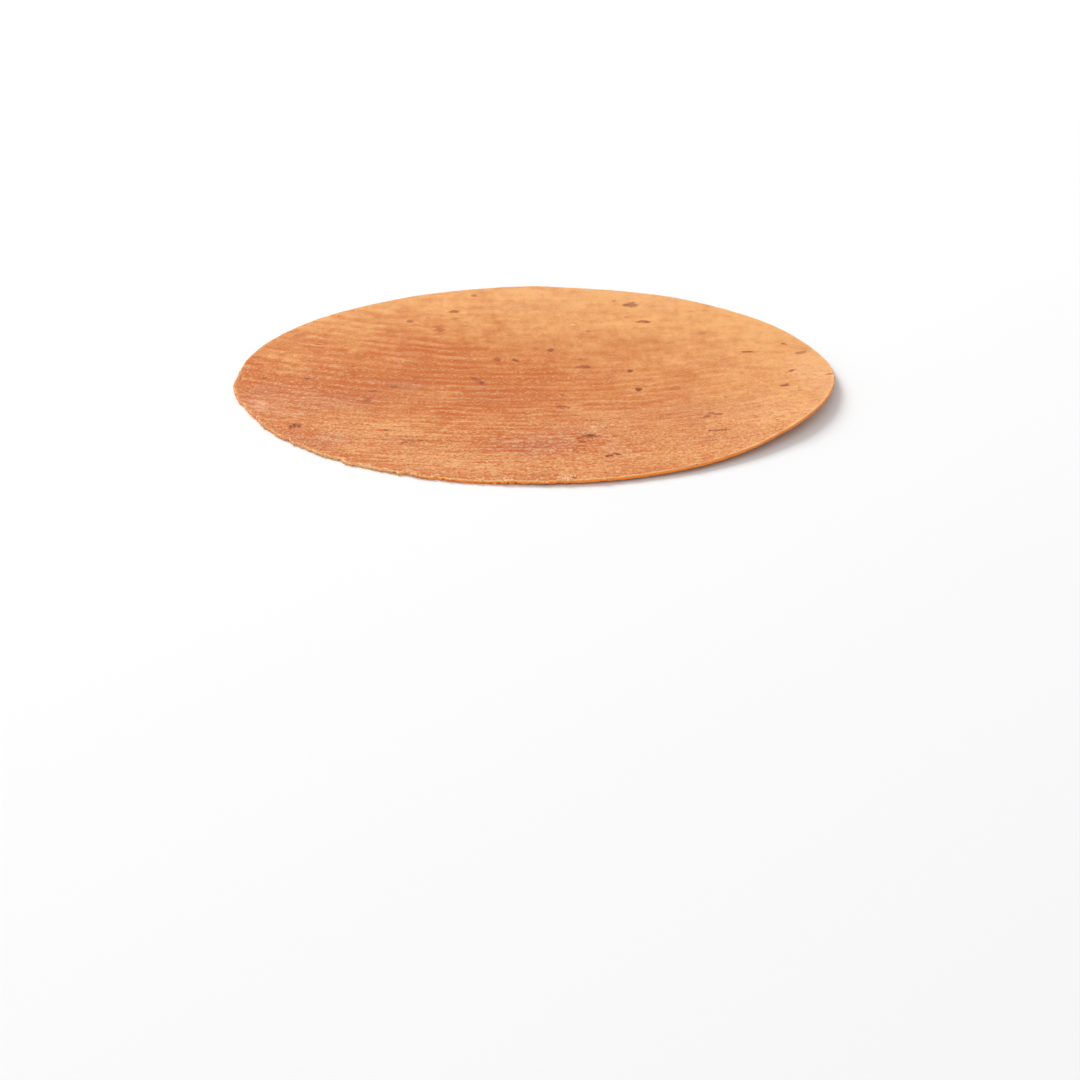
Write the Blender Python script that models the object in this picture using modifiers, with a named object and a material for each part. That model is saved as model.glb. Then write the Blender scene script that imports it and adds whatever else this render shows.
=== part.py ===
"""A khakhra: one thin, crisp, roasted flatbread, lying flat as it would on a plate.

The bread is a single sheet of dough, rolled out by hand to a disc about seven inches
across and less than a millimetre thick, then pressed and roasted until it is brittle.
The middle lies flat. The rim dried a little out of true, so it rises in slow waves, and
its edge is ragged, with one small piece broken out. Flakes of dried fenugreek leaf are
rolled into the top and stand just proud of it.

Units are metres and +Z is up. The origin is under the middle of the bread, at the level
of what it lies on. The view in mind looks along +Y, so -Y is the front.
"""

import math
import random

import bmesh
import bpy
from mathutils import Vector, noise
from mathutils.geometry import delaunay_2d_cdt

MM = 0.001

# The sheet
DIAMETER = 180 * MM
RADIUS = DIAMETER / 2
THICKNESS = 0.9 * MM
FLAT_RADIUS = 26 * MM  # the middle that lies flat
RISE_POWER = 1.6  # above 1, so the sheet leaves the flat middle without a crease

# Slow waves of the rim: waves around, height, angle of a crest in degrees from +X.
# What would rise less than LYING_WAVE stays down, so most of the rim lies on the table too
RIM_WAVES = (
    (1, 1.22 * MM, 335),
    (2, 0.76 * MM, 152),
    (3, 0.54 * MM, 91),
    (4, 0.38 * MM, 73),
    (5, 0.21 * MM, 54),
    (6, 0.14 * MM, 39),
)
LYING_WAVE = 0.6 * MM

# Low swells between the middle and the rim, where the dough lifted as it roasted
SWELL_HEIGHT = 0.4 * MM
SWELL_LENGTH = 19 * MM

# The outline, which is round but rolled by hand
DRIFT = 0.5 * MM  # slow departure from a circle
DRIFT_LENGTH = 34 * MM
NICK = 0.45 * MM  # small nicks and teeth along the edge
NICK_LENGTH = 2.6 * MM

# Marks on the edge: angle in degrees, width, depth. A negative depth stands out
EDGE_MARKS = (
    (246, 3.4 * MM, 1.6 * MM),  # a small piece broken out
    (233, 4.6 * MM, -0.8 * MM),  # a tab of dough that rolled out further
    (187.5, 30 * MM, -1.5 * MM),  # the left end, drawn out to a blunt point
)

# How finely the sheet is divided
RIM_POINTS = 360
BAND_WIDTH = 2.3 * MM  # from the rim to the first ring inside it
GRID_PITCH = 4.1 * MM
GRID_JITTER = 0.12  # share of the pitch

# Leaf flakes on top: x, y, length and width in millimetres, and the turn in degrees
FLAKES = (
    (-20, 81, 3.3, 1.7, 85),
    (30, 71.5, 6.0, 4.0, 78),
    (-26, 64, 4.0, 3.2, 60),
    (-40, 54.5, 3.6, 2.0, 100),
    (34, 54, 4.2, 3.2, 20),
    (-30, 45.5, 4.0, 2.8, 75),
    (52, 42.5, 4.4, 3.0, 70),
    (-74, 40.5, 3.6, 2.8, 30),
    (77, 32, 2.7, 2.0, 70),
    (4, 26.5, 3.3, 2.2, 80),
    (65.5, 24, 4.6, 2.2, 5),
    (82, 23, 4.3, 2.5, 100),
    (-12, 17.5, 3.6, 2.2, 95),
    (-6.5, 17, 4.0, 2.0, 84),
    (14.5, 10.5, 5.0, 2.8, 8),
    (28.5, 6.5, 2.7, 1.7, 70),
    (77.5, 3.5, 4.0, 2.3, 95),
    (-17, -3, 6.4, 2.8, 62),
    (31, -10.5, 3.6, 1.7, 88),
    (-49, -12, 2.2, 1.8, 60),
    (74.5, -13, 3.0, 2.3, 110),
    (8, -16, 2.3, 1.5, 90),
    (8, -26, 3.6, 2.2, 5),
    (51.5, -38, 4.6, 3.0, 60),
    (-70, -43.5, 5.4, 2.3, 98),
    (53.5, -50.5, 4.6, 1.8, 10),
    (15, -52.5, 5.4, 3.8, 15),
    (-36.5, -56, 4.3, 3.8, 40),
    (22, -68, 3.6, 3.0, 30),
)
FLAKE_SIDES = 7
FLAKE_PROUD = 0.16 * MM
FLAKE_SUNK = 0.35 * MM
FLAKE_RAGGED = 0.22  # share of the radius
FLAKE_TOP_SHARE = 0.86  # the top is a little smaller than the foot

# Roasted wholewheat dough, as sRGB
DOUGH_COLOUR = "dc9460"
DOUGH_ROUGHNESS = 0.7
SMOOTH_BELOW = math.radians(40)

draw = random.Random(5)


def linear_colour(hex_text):
    """An sRGB colour as Blender's linear red, green, blue and alpha."""
    channels = [int(hex_text[i : i + 2], 16) / 255 for i in (0, 2, 4)]
    linear = [c / 12.92 if c <= 0.04045 else ((c + 0.055) / 1.055) ** 2.4 for c in channels]
    return (*linear, 1.0)


def clear_scene():
    """Removes what the startup scene holds."""
    for obj in list(bpy.data.objects):
        bpy.data.objects.remove(obj)


def new_collection(name):
    collection = bpy.data.collections.new(name)
    bpy.context.scene.collection.children.link(collection)
    return collection


def rim_wave(angle):
    """Sum of the rim's slow waves at an angle, before it is set on the table."""
    return sum(h * math.cos(n * (angle - math.radians(crest))) for n, h, crest in RIM_WAVES)


LOWEST_WAVE = min(rim_wave(math.radians(degree)) for degree in range(360))


def rim_lift(angle):
    """How far the rim's underside stands clear of the table at an angle."""
    return max(rim_wave(angle) - LOWEST_WAVE - LYING_WAVE, 0.0)


def underside_height(x, y):
    """Height of the sheet's lower face: nought in the middle, and rising to the raised rim."""
    away = (math.hypot(x, y) - FLAT_RADIUS) / (RADIUS - FLAT_RADIUS)
    if away <= 0:
        return 0.0
    lift = rim_lift(math.atan2(y, x)) * away**RISE_POWER
    swell = max(0.5 + noise.noise(Vector((x, y, 0.0)) / SWELL_LENGTH), 0.0)
    between = math.sin(math.pi * min(away, 1.0)) ** 2
    return lift + SWELL_HEIGHT * swell * between


def edge_mark(angle):
    """How far a break or a tab moves the edge inwards at an angle."""
    inwards = 0.0
    for place, width, depth in EDGE_MARKS:
        turn = angle - math.radians(place)
        along = abs(math.atan2(math.sin(turn), math.cos(turn))) * RADIUS
        if along < width / 2:
            inwards += depth * math.cos(math.pi * along / width)
    return inwards


def outline_radius(angle):
    """Distance from the middle to the ragged edge."""
    around = Vector((math.cos(angle), math.sin(angle), 0.3)) * RADIUS
    drift = DRIFT * noise.noise(around / DRIFT_LENGTH)
    nick = NICK * noise.noise(around / NICK_LENGTH)
    return RADIUS + drift + nick - edge_mark(angle)


def ring_points(count, inset, shift):
    """Points along the outline, a set distance inside it."""
    points = []
    for index in range(count):
        angle = 2 * math.pi * (index + shift) / count
        reach = outline_radius(angle) - inset
        points.append(Vector((reach * math.cos(angle), reach * math.sin(angle))))
    return points


def inner_points():
    """Staggered rows of slightly uneven points that fill the disc."""
    points = []
    row_gap = GRID_PITCH * math.sqrt(3) / 2
    rows = math.ceil(RADIUS / row_gap)
    for row in range(-rows, rows + 1):
        for column in range(-rows, rows + 1):
            x = (column + 0.5 * (row % 2) + draw.uniform(-GRID_JITTER, GRID_JITTER)) * GRID_PITCH
            y = row * row_gap + draw.uniform(-GRID_JITTER, GRID_JITTER) * GRID_PITCH
            reach = outline_radius(math.atan2(y, x)) - BAND_WIDTH - GRID_PITCH / 2
            if math.hypot(x, y) < reach:
                points.append(Vector((x, y)))
    return points


def sheet_mesh():
    """The lower face of the bread as one open, wavy surface of even triangles."""
    rim = ring_points(RIM_POINTS, 0.0, 0.0)
    band = ring_points(RIM_POINTS // 2, BAND_WIDTH, 0.25)
    edges = [(i, (i + 1) % RIM_POINTS) for i in range(RIM_POINTS)]
    points, _, faces, *_ = delaunay_2d_cdt(rim + band + inner_points(), edges, [], 1, 1e-7)
    bm = bmesh.new()
    corners = [bm.verts.new((p.x, p.y, underside_height(p.x, p.y))) for p in points]
    for face in faces:
        bm.faces.new([corners[i] for i in face])
    bmesh.ops.recalc_face_normals(bm, faces=bm.faces)
    if sum(face.normal.z for face in bm.faces) < 0:
        bmesh.ops.reverse_faces(bm, faces=bm.faces)
    mesh = bpy.data.meshes.new("khakhra")
    bm.to_mesh(mesh)
    bm.free()
    return mesh


def dough_material():
    material = bpy.data.materials.new("roasted dough")
    material.use_nodes = True
    shader = material.node_tree.nodes["Principled BSDF"]
    shader.inputs["Base Color"].default_value = linear_colour(DOUGH_COLOUR)
    shader.inputs["Roughness"].default_value = DOUGH_ROUGHNESS
    shader.inputs["Metallic"].default_value = 0.0
    return material


def make_sheet(collection, material):
    """The bread: the wavy surface given its thickness upwards."""
    mesh = sheet_mesh()
    mesh.materials.append(material)
    sheet = bpy.data.objects.new("khakhra", mesh)
    collection.objects.link(sheet)
    thicken = sheet.modifiers.new("thickness", "SOLIDIFY")
    thicken.thickness = THICKNESS
    thicken.offset = 1.0
    return sheet


def make_flake(collection, material, x, y, length, width, turn):
    """One leaf flake: a flat, uneven, many-sided chip draped on the bread, its foot sunk in."""
    bm = bmesh.new()
    bmesh.ops.create_cone(
        bm, cap_ends=True, segments=FLAKE_SIDES, radius1=1.0, radius2=FLAKE_TOP_SHARE, depth=1.0
    )
    reach = [1 + draw.uniform(-FLAKE_RAGGED, FLAKE_RAGGED) for _ in range(FLAKE_SIDES)]
    for corner in bm.verts:
        angle = math.atan2(corner.co.y, corner.co.x)
        side = round(angle / (2 * math.pi) * FLAKE_SIDES) % FLAKE_SIDES
        along = corner.co.x * reach[side] * length / 2
        across = corner.co.y * reach[side] * width / 2
        corner_x = x + along * math.cos(turn) - across * math.sin(turn)
        corner_y = y + along * math.sin(turn) + across * math.cos(turn)
        above = FLAKE_PROUD if corner.co.z > 0 else -FLAKE_SUNK
        corner.co = (corner_x, corner_y, underside_height(corner_x, corner_y) + THICKNESS + above)
    mesh = bpy.data.meshes.new("leaf flake")
    bm.to_mesh(mesh)
    bm.free()
    mesh.materials.append(material)
    collection.objects.link(bpy.data.objects.new("leaf flake", mesh))


def fuse(sheet, collection):
    """Joins all that a collection holds to the bread, then removes the loose pieces."""
    join = sheet.modifiers.new("flakes", "BOOLEAN")
    join.operation = "UNION"
    join.operand_type = "COLLECTION"
    join.collection = collection
    join.solver = "EXACT"
    bpy.context.view_layer.update()
    evaluated = sheet.evaluated_get(bpy.context.evaluated_depsgraph_get())
    fused = bpy.data.meshes.new_from_object(evaluated)
    sheet.modifiers.clear()
    sheet.data = fused
    for loose in list(collection.objects):
        bpy.data.objects.remove(loose)
    bpy.data.collections.remove(collection)


def set_on_origin(mesh):
    """Moves the mesh so that the origin is under its middle, at its lowest level."""
    lows = [min(v.co[axis] for v in mesh.vertices) for axis in range(3)]
    highs = [max(v.co[axis] for v in mesh.vertices) for axis in range(3)]
    middle = Vector(((lows[0] + highs[0]) / 2, (lows[1] + highs[1]) / 2, lows[2]))
    for vertex in mesh.vertices:
        vertex.co -= middle
    print("moved by", [round(part / MM, 3) for part in middle], "mm")


def main():
    clear_scene()
    parts = new_collection("khakhra")
    flakes = new_collection("leaf flakes")
    dough = dough_material()
    sheet = make_sheet(parts, dough)
    for x, y, length, width, turn in FLAKES:
        make_flake(flakes, dough, x * MM, y * MM, length * MM, width * MM, math.radians(turn))
    fuse(sheet, flakes)
    set_on_origin(sheet.data)
    sheet.data.shade_smooth()
    sheet.data.set_sharp_from_angle(angle=SMOOTH_BELOW)


main()
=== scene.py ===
# %% [markdown]
# # A khakhra on white paper
# A khakhra is wholewheat dough rolled thinner than a coin, then pressed on a hot griddle until it is
# dry and crisp. The frame already holds it as one plain solid of the right size. This lesson keeps
# that form and gives it what the eye looks for: ripples from the rolling, toasted patches, leaf
# flakes, grit and a crumbly edge, with some light and shade painted into the colour of the patches,
# the ripples and the rim.

# %% The frame and the box it must fit
import math

import bpy
import numpy as np
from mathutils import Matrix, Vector
from mathutils.geometry import delaunay_2d_cdt


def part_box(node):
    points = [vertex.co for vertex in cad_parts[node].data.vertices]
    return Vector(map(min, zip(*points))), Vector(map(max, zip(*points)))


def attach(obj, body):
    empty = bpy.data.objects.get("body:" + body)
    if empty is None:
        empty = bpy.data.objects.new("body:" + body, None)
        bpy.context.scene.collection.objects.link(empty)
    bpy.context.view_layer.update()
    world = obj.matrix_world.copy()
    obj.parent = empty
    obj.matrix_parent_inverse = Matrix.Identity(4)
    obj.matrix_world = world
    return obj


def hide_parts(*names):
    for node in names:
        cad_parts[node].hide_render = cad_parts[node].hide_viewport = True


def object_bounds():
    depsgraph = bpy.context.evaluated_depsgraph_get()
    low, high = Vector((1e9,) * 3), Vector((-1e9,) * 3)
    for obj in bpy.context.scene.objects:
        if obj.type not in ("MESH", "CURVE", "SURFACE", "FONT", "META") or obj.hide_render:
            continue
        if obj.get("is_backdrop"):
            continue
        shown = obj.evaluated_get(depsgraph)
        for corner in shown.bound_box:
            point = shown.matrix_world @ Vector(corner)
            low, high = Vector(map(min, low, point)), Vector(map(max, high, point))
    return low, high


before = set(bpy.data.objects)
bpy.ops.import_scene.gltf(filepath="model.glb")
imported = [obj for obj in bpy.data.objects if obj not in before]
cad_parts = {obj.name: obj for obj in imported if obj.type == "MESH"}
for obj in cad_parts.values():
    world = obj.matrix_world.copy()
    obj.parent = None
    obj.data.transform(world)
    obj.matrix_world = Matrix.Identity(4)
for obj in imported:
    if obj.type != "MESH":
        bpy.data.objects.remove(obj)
cad_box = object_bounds()
MM = 0.001
MIDDLE = Vector((0.58 * MM, -0.09 * MM, 0))  # of the round part; its pointed left end shifts the box
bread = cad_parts["khakhra"]
low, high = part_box("khakhra")
print("the solid measures", [round(side / MM, 2) for side in high - low], "mm")

# %% [markdown]
# ## Reading the form of the solid
# The fine sheet made below has to lie exactly where the solid lies. So two things are read from the
# solid: how far its edge is from the middle at each degree, and how high its underside is at a net
# of places. The heights come from rays sent up from below, because the flakes on top would disturb
# rays from above. A light blur takes the flat facets out again. A much smoother copy of the edge is
# for the sides where the bread was hardly handled, and there it takes the solid's coarse teeth out.

# %% How far out the edge is, and how high the sheet lies
SPOKES = 360
RINGS = 46
RADIUS = (high.x - low.x + high.y - low.y) / 4
JUST_INSIDE = 0.994  # of the way out, so that no ray misses at the rim
EDGE_BLURS = 16
LEVEL_BLURS = 3


def blurred(values):
    """Each value blended with its two neighbours round the bread."""
    return (np.roll(values, 1, -1) + 2 * values + np.roll(values, -1, -1)) / 4


corners = np.array([vertex.co - MIDDLE for vertex in bread.data.vertices])
corner_turn = np.degrees(np.arctan2(corners[:, 1], corners[:, 0]))
corner_reach = np.hypot(corners[:, 0], corners[:, 1])
edge_reach = np.zeros(SPOKES)
np.maximum.at(edge_reach, np.round(corner_turn).astype(int) % SPOKES, corner_reach)
calm_reach = edge_reach
for _ in range(EDGE_BLURS):
    calm_reach = blurred(calm_reach)


def edge_at(turn, reaches=edge_reach):
    """Distance from the middle to the solid's edge, for angles in radians."""
    return np.interp(np.degrees(turn), np.arange(SPOKES), reaches, period=SPOKES)


def ray_height(x, y, z, direction):
    """Height at which a ray straight up or down meets the solid, at a place from its middle."""
    hit, place, *_ = bread.ray_cast(MIDDLE + Vector((x, y, z)), Vector((0, 0, direction)))
    return place.z if hit else np.nan


spoke_turns = np.radians(np.arange(SPOKES))
level = np.zeros((RINGS, SPOKES))
for ring in range(RINGS):
    for spoke, turn in enumerate(spoke_turns):
        reach = min(ring / (RINGS - 1), JUST_INSIDE) * edge_reach[spoke]
        level[ring, spoke] = ray_height(reach * math.cos(turn), reach * math.sin(turn), -1, 1)
for _ in range(LEVEL_BLURS):
    level = blurred(level)
    level[1:-1] = (level[:-2] + 2 * level[1:-1] + level[2:]) / 4
level[0] = level[0].mean()
THICKNESS = ray_height(1 * MM, 1 * MM, 1, -1) - ray_height(1 * MM, 1 * MM, -1, 1)


def lie(x, y):
    """Height of the sheet's underside at any place, read between the net's knots."""
    turn = np.arctan2(y, x)
    ring = np.clip(np.hypot(x, y) / edge_at(turn), 0, 0.9999) * (RINGS - 1)
    spoke = np.degrees(turn) % SPOKES
    inner, before = ring.astype(int), spoke.astype(int) % SPOKES
    out, on = ring - inner, spoke - spoke.astype(int)
    after = (before + 1) % SPOKES
    near = level[inner, before] * (1 - on) + level[inner, after] * on
    far = level[inner + 1, before] * (1 - on) + level[inner + 1, after] * on
    return near * (1 - out) + far * out


print("radius", round(RADIUS / MM, 2), "thickness", round(THICKNESS / MM, 2), "mm")

# %% [markdown]
# ## One source of unevenness
# Nothing on a hand-rolled bread repeats. All relief and all patches below come from one kind of
# smooth noise: random numbers on a lattice, blended in between. Stretching the lattice in one
# direction gives streaks, and the seed keeps each use of it different but the same on every run.

# %% Smooth noise for whole arrays of points
LATTICE = 128
MIDDLE_CELL = 1000  # the column and row that the middle of the bread falls in


def waver(x, y, size, seed):
    """Smooth noise between -1 and 1, whose bumps are about one size across."""
    table = np.random.default_rng(seed).uniform(-1, 1, (LATTICE, LATTICE))
    u, v = x / size + MIDDLE_CELL, y / size + MIDDLE_CELL
    column, row = np.floor(u).astype(int), np.floor(v).astype(int)
    s, t = u - column, v - row
    s, t = s * s * (3 - 2 * s), t * t * (3 - 2 * t)
    column, row = column % LATTICE, row % LATTICE
    right, above = (column + 1) % LATTICE, (row + 1) % LATTICE
    lower = table[row, column] * (1 - s) + table[row, right] * s
    upper = table[above, column] * (1 - s) + table[above, right] * s
    return lower * (1 - t) + upper * t


def ease(value, start, end):
    """Nought before start and one after end, with a soft change between."""
    share = np.clip((value - start) / (end - start), 0, 1)
    return share * share * (3 - 2 * share)


# %% [markdown]
# ## Ripples
# The rolling pin left fine ripples. Seen from above they are arcs round a point far behind the
# bread, close together at the front and wider apart at the back. A sine wave of the distance from
# that point gives the arcs, and a finer one runs between them, most at the front. Noise bends and
# breaks them, and they fade out on the right, where the surface is only grainy.

# %% The ripple pattern
ARC_CENTRE = (-5 * MM, 175 * MM)
NEAR_REACH, NEAR_PITCH = 110 * MM, 7.2 * MM  # near that centre, at the back of the bread
FAR_REACH, FAR_PITCH = 230 * MM, 3.7 * MM  # far from it, at the front
RIPPLE_BENDS = ((1.4 * MM, 12 * MM), (1.0 * MM, 4.5 * MM), (0.4 * MM, 2.0 * MM))  # shift and size
RIPPLE_TRAINS = ((1, 0.85), (1.7, 0.45))  # how much finer, and how high
RIPPLE_BREAK = 4.5 * MM
ARC_STRETCH = 1.4
STREAKS = ((1, 3, 1.2 * MM), (0.6, 1.6, 1.1 * MM))  # how high, how drawn out, and how wide
STREAK_SHARE = 0.3
HIGHEST_CREST = 1.3
LEFT_FADE = (-20 * MM, 42 * MM)
BAND_MIDDLE, BAND_FADE, BAND_END = -15 * MM, (15 * MM, 42 * MM), (20 * MM, 65 * MM)
BAND_SHARE = 0.65
FAINT_SHARE, FRONT_GAIN = 0.15, 0.2


def along_and_reach(x, y):
    """Place of points along the arcs and across them."""
    side, back = x - ARC_CENTRE[0], ARC_CENTRE[1] - y
    reach = np.hypot(side, back)
    return np.arctan2(side, back) * ARC_CENTRE[1], reach


def crests(x, y, seed=0):
    """The ripples, from about -1 in a trough to about 1 on a crest."""
    along, reach = along_and_reach(x, y)
    slope = (FAR_PITCH - NEAR_PITCH) / (FAR_REACH - NEAR_REACH)
    coarse_share = 1 - 0.18 * ease(-y, 0, 20 * MM)
    fine_share = 1 - 0.65 * ease(y, -30 * MM, 10 * MM)
    total = np.zeros(len(x))
    for number, (finer, share) in enumerate(RIPPLE_TRAINS):
        train_seed = 11 + 5 * number + seed
        bent = reach
        for bend, (shift, size) in enumerate(RIPPLE_BENDS):
            sway = waver(along / ARC_STRETCH, reach, size / finer, train_seed + bend)
            bent = bent + shift / finer * sway
        pitch = NEAR_PITCH + slope * (bent - NEAR_REACH)
        arcs = np.sin(2 * math.pi * finer / slope * np.log(pitch / NEAR_PITCH))
        gaps = waver(along / ARC_STRETCH, reach, RIPPLE_BREAK / finer, train_seed + 3)
        total += share * arcs * (0.75 + 0.75 * gaps) * (fine_share if number else coarse_share)
    streaks = 0
    for number, (share, stretch, size) in enumerate(STREAKS):
        streaks = streaks + share * waver(along / stretch, reach, size, 31 + number + seed)
    return np.clip(total + STREAK_SHARE * streaks * fine_share, -HIGHEST_CREST, HIGHEST_CREST)


def ripple_strength(x, y):
    """Where the ripples show: on the left, in a band across the middle, and faintly elsewhere."""
    left = 1 - ease(x + 0.9 * np.maximum(y, 0), *LEFT_FADE)
    band = (1 - ease(abs(y - BAND_MIDDLE), *BAND_FADE)) * (1 - 0.9 * ease(x, *BAND_END))
    fading = 1 - 0.2 * ease(np.hypot(x, y), 64 * MM, 84 * MM) * ease(-y, 5 * MM, 25 * MM)
    fading *= 1 - 0.15 * ease(-x, 35 * MM, 65 * MM)
    faint = FAINT_SHARE + FRONT_GAIN * ease(-y, 0, 30 * MM)
    return faint + (1 - faint) * fading * np.maximum(left, BAND_SHARE * band)


# %% [markdown]
# ## Leaf flakes
# Dried fenugreek leaf is crumbled into the dough, and the rolling presses the flakes flat into the
# face. They are part of the sheet, not loose on it. So they aren't separate shapes here: each flake
# is a raised spot in the sheet, where the mesh is finer and the finish turns to leaf. The large ones
# lie where the solid's own flakes do, some of them split into fragments, and smaller ones lie
# between them. Two more kinds of spot are made in the same way: blisters, where steam lifted a
# pinhead of dough that baked pale, and a shallow crack in the rim at the right, which runs on into
# the face as a faint crease.

# %% Where the flakes are: x, y, length, width in millimetres, turn in degrees, and how dark
FLAKES = (
    (-20, 81, 2.8, 1.9, 90, 0.5),
    (30.3, 71.5, 5.6, 4.6, 80, 0.6),
    (29.6, 71.2, 3.6, 3.0, 20, 0.8),
    (-26, 64, 4.2, 2.8, 27, 0.6),
    (-40, 54.5, 3.6, 2.4, 95, 0.5),
    (33.8, 54, 5.2, 2.8, 178, 0.55),
    (34.4, 53.7, 3.2, 2.2, 170, 0.85),
    (-30.3, 45.8, 4.2, 3.6, 90, 0.45),
    (52, 42.5, 4.6, 3.2, 70, 0.22),
    (-73.5, 40.8, 4.4, 3.4, 20, 0.4),
    (77, 32.5, 2.2, 1.5, 90, 0.55),
    (4.4, 26.5, 3.5, 2.1, 85, 0.65),
    (65.5, 24, 4.8, 1.8, 0, 0.75),
    (82, 23, 5.0, 2.4, 38, 0.45),
    (81, 22.3, 2.4, 1.8, 20, 0.65),
    (-89.6, 0.5, 2.4, 1.0, 100, 0.55),
    (-12, 17.5, 3.9, 2.4, 95, 0.5),
    (-6.5, 17, 3.6, 1.9, 122, 0.75),
    (14, 10.5, 5.6, 3.0, 5, 0.55),
    (28.5, 6.5, 2.8, 1.8, 65, 0.9),
    (77.5, 3.5, 3.6, 1.7, 50, 0.65),
    (-18.6, -0.4, 3.6, 1.9, 125, 0.6),
    (-16.6, -3.8, 3.4, 1.7, 118, 0.7),
    (-17.8, -1.8, 6.8, 2.3, 122, 0.35),
    (30.7, -10.3, 3.5, 2.0, 90, 0.85),
    (-49, -12, 2.6, 1.8, 0, 0.55),
    (74.3, -12.6, 3.8, 2.4, 40, 0.75),
    (8, -16, 2.3, 1.3, 90, 0.45),
    (8, -26, 4.4, 2.6, 165, 0.45),
    (50.2, -38, 2.6, 2.2, 30, 0.65),
    (51.3, -35.2, 2.2, 1.8, 45, 0.55),
    (53.4, -36.5, 3.0, 2.0, 0, 0.6),
    (-71.6, -43.4, 2.8, 0.9, 85, 1.0),
    (-70.5, -42.6, 4.0, 1.0, 96, 1.0),
    (-69.3, -43.2, 2.4, 0.9, 75, 0.9),
    (-70.2, -42.4, 4.0, 3.2, 0, 0.55),
    (52.8, -50.2, 6.0, 1.5, 2, 0.75),
    (15.5, -52, 5.2, 3.5, 20, 0.85),
    (12.6, -53.8, 2.0, 1.2, 30, 0.85),
    (-36.5, -56, 3.8, 3.4, 40, 0.25),
    (-38.4, -57.3, 1.6, 1.0, 20, 0.6),
    (-33.5, -55, 1.8, 0.9, 0, 0.6),
    (21, -68.6, 2.6, 1.6, 20, 1.0),
    (23.4, -67.6, 2.2, 1.4, 160, 1.0),
    (22.5, -66.3, 1.4, 1.0, 0, 0.6),
)
SMALL_FLAKES = (
    (25, 75, 2.6, 2.0, 60, 0.3),
    (16.3, 44, 2.4, 1.4, 90, 0.35),
    (14.5, 17.6, 4.0, 3.0, 0, 0.25),
    (-55, 3, 3.2, 2.2, 170, 0.3),
    (-36, 0, 5.0, 3.5, 170, 0.2),
    (-69, -1, 2.6, 1.4, 165, 0.8),
    (-43, -7, 4.6, 3.4, 100, 0.35),
    (41.5, -10.5, 4.0, 3.0, 30, 0.25),
    (-50, -20, 4.0, 2.4, 90, 0.4),
    (-43.5, -47, 2.2, 1.3, 150, 0.8),
    (23.3, -52.3, 1.2, 1.0, 0, 0.9),
    (13.2, -57, 2.4, 1.6, 10, 0.9),
    (11.2, -65, 2.0, 2.0, 0, 0.35),
    (12, -65.2, 1.0, 0.9, 0, 0.95),
)
FAINT_FLAKES = 16
UNDER_FLAKES = 40
BLISTERS = (
    (77.7, -14.7, 1.8, 1.2, 0, 0.8),
    (66, -50.4, 1.6, 1.2, 20, 0.7),
    (66.8, -59.8, 1.5, 1.1, 0, 0.7),
    (41.3, -66.8, 1.8, 1.2, 160, 0.6),
    (39.5, -59.1, 1.4, 1.2, 0, 0.6),
    (33.7, -61.4, 1.6, 1.0, 10, 0.6),
    (25.4, -61.3, 1.5, 1.2, 0, 0.8),
    (26.2, -64.2, 1.6, 1.2, 30, 0.9),
    (22.9, -82.3, 1.8, 1.0, 0, 0.8),
    (22.2, -42.5, 1.8, 1.3, 150, 0.8),
    (16.7, -43.6, 1.6, 1.1, 0, 1.0),
    (19.6, -44, 1.3, 1.0, 90, 0.9),
    (11.6, 50.3, 1.6, 1.3, 0, 0.8),
    (47.6, 52.7, 1.5, 1.2, 40, 0.7),
    (11.4, 57.3, 1.3, 1.1, 0, 0.5),
)
CRACKS = ((88.8, -1.9, 3.2, 1.0, 30, 1.0), (83.8, -7.4, 11, 1.4, 53, 0.22))
draw = np.random.default_rng(4)
FLAKE_FIELD = 84  # millimetres from the middle
FLAKE_LENGTHS = (0.9, 2.4)
FLAKE_WIDTHS = (0.5, 0.9)  # of the length
FAINTEST = 0.2
SPOT_FRAY, SPOT_FRAY_SIZE = 0.35, 0.8 * MM
SPOT_CORE, SPOT_END = 0.3, 1.5


def scattered_flakes(count, darkest):
    """Small flakes at random places."""
    flakes = []
    for _ in range(count):
        turn, reach = draw.uniform(0, 2 * math.pi), FLAKE_FIELD * math.sqrt(draw.uniform())
        length = draw.uniform(*FLAKE_LENGTHS)
        shape = (length, length * draw.uniform(*FLAKE_WIDTHS), draw.uniform(0, 180))
        dark = draw.uniform(FAINTEST, darkest)
        flakes.append((reach * math.cos(turn), reach * math.sin(turn), *shape, dark))
    return flakes


top_flakes = [*FLAKES, *SMALL_FLAKES, *scattered_flakes(FAINT_FLAKES, 0.45)]
under_flakes = scattered_flakes(UNDER_FLAKES, 0.9)


def spot_cover(x, y, spots):
    """The spots' shape at each place, one in the middle to nought outside, and their strength."""
    cover, strength = np.zeros(len(x)), np.zeros(len(x))
    for spot_x, spot_y, length, width, turn, strong in spots:
        side, back = x - spot_x * MM, y - spot_y * MM
        close = np.nonzero((abs(side) < 2 * length * MM) & (abs(back) < 2 * length * MM))[0]
        side, back, turn = side[close], back[close], math.radians(turn)
        along = (side * math.cos(turn) + back * math.sin(turn)) / (length * MM / 2)
        across = (back * math.cos(turn) - side * math.sin(turn)) / (width * MM / 2)
        frayed = SPOT_FRAY * waver(side, back, SPOT_FRAY_SIZE, int(abs(spot_x * 7)))
        shape = 1 - ease(np.hypot(along, across) + frayed, SPOT_CORE, SPOT_END)
        strength[close] = np.where(shape > cover[close], strong, strength[close])
        cover[close] = np.maximum(cover[close], shape)
    return cover, strength


print(len(top_flakes), "flakes on top and", len(under_flakes), "underneath")
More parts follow.
